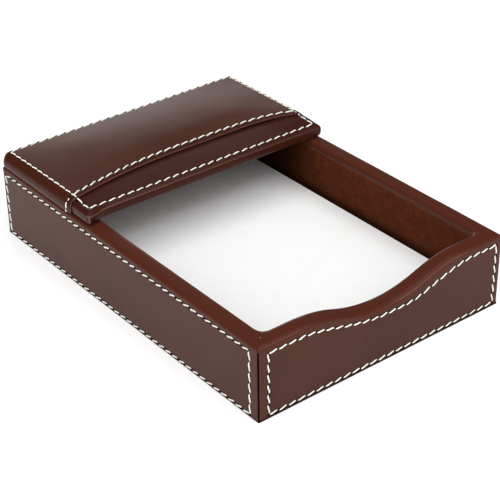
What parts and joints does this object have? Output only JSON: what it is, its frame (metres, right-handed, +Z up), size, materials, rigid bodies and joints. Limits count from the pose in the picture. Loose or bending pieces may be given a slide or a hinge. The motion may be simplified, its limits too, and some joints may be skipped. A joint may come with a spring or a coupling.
{
  "type": "memo sheet holder",
  "caption": "Leather-wrapped open tray for loose 4 x 6 in memo sheets, with a scooped front wall for the fingers and a flat lid board over the rear third.",
  "frame": {"origin": "middle of the whole outline, on the surface that the holder stands on", "axes": "+X along the front wall to the right, +Y from the scooped front wall to the lid at the rear, +Z up"},
  "size_m": [0.1224, 0.1722, 0.0393],
  "materials": {
    "leather": "satin bonded leather, dark red-brown",
    "suede": "napped suede cloth on card, warm brown",
    "felt": "pressed felt, dark brown",
    "board": "bare fibreboard",
    "card": "grey-brown card",
    "paper": "matt uncoated white paper"
  },
  "bodies": {
    "holder": {"base_pad": "felt", "base_board": "board", "floor_lining": "suede", "front_wall_board": "board", "front_wall_lining": "suede", "front_wall_cover": "leather", "right_wall_board": "board", "right_wall_lining": "suede", "right_wall_cover": "leather", "rear_wall_board": "board", "rear_wall_lining": "suede", "rear_wall_cover": "leather", "left_wall_board": "board", "left_wall_lining": "suede", "left_wall_cover": "leather", "lid_board": "board", "lid_padding": "card", "lid_lining": "suede", "lid_front_cover": "leather", "lid_top_cover": "leather"},
    "memo_stack": {"memo_sheets": "paper"}
  },
  "joints": [
    {"name": "memo_tilt", "type": "hinge", "parent": "holder", "child": "memo_stack", "pos_m": [0, 0.07575, 0.0051], "axis": [-1, 0, 0], "range_deg": [0, 20]}
  ]
}
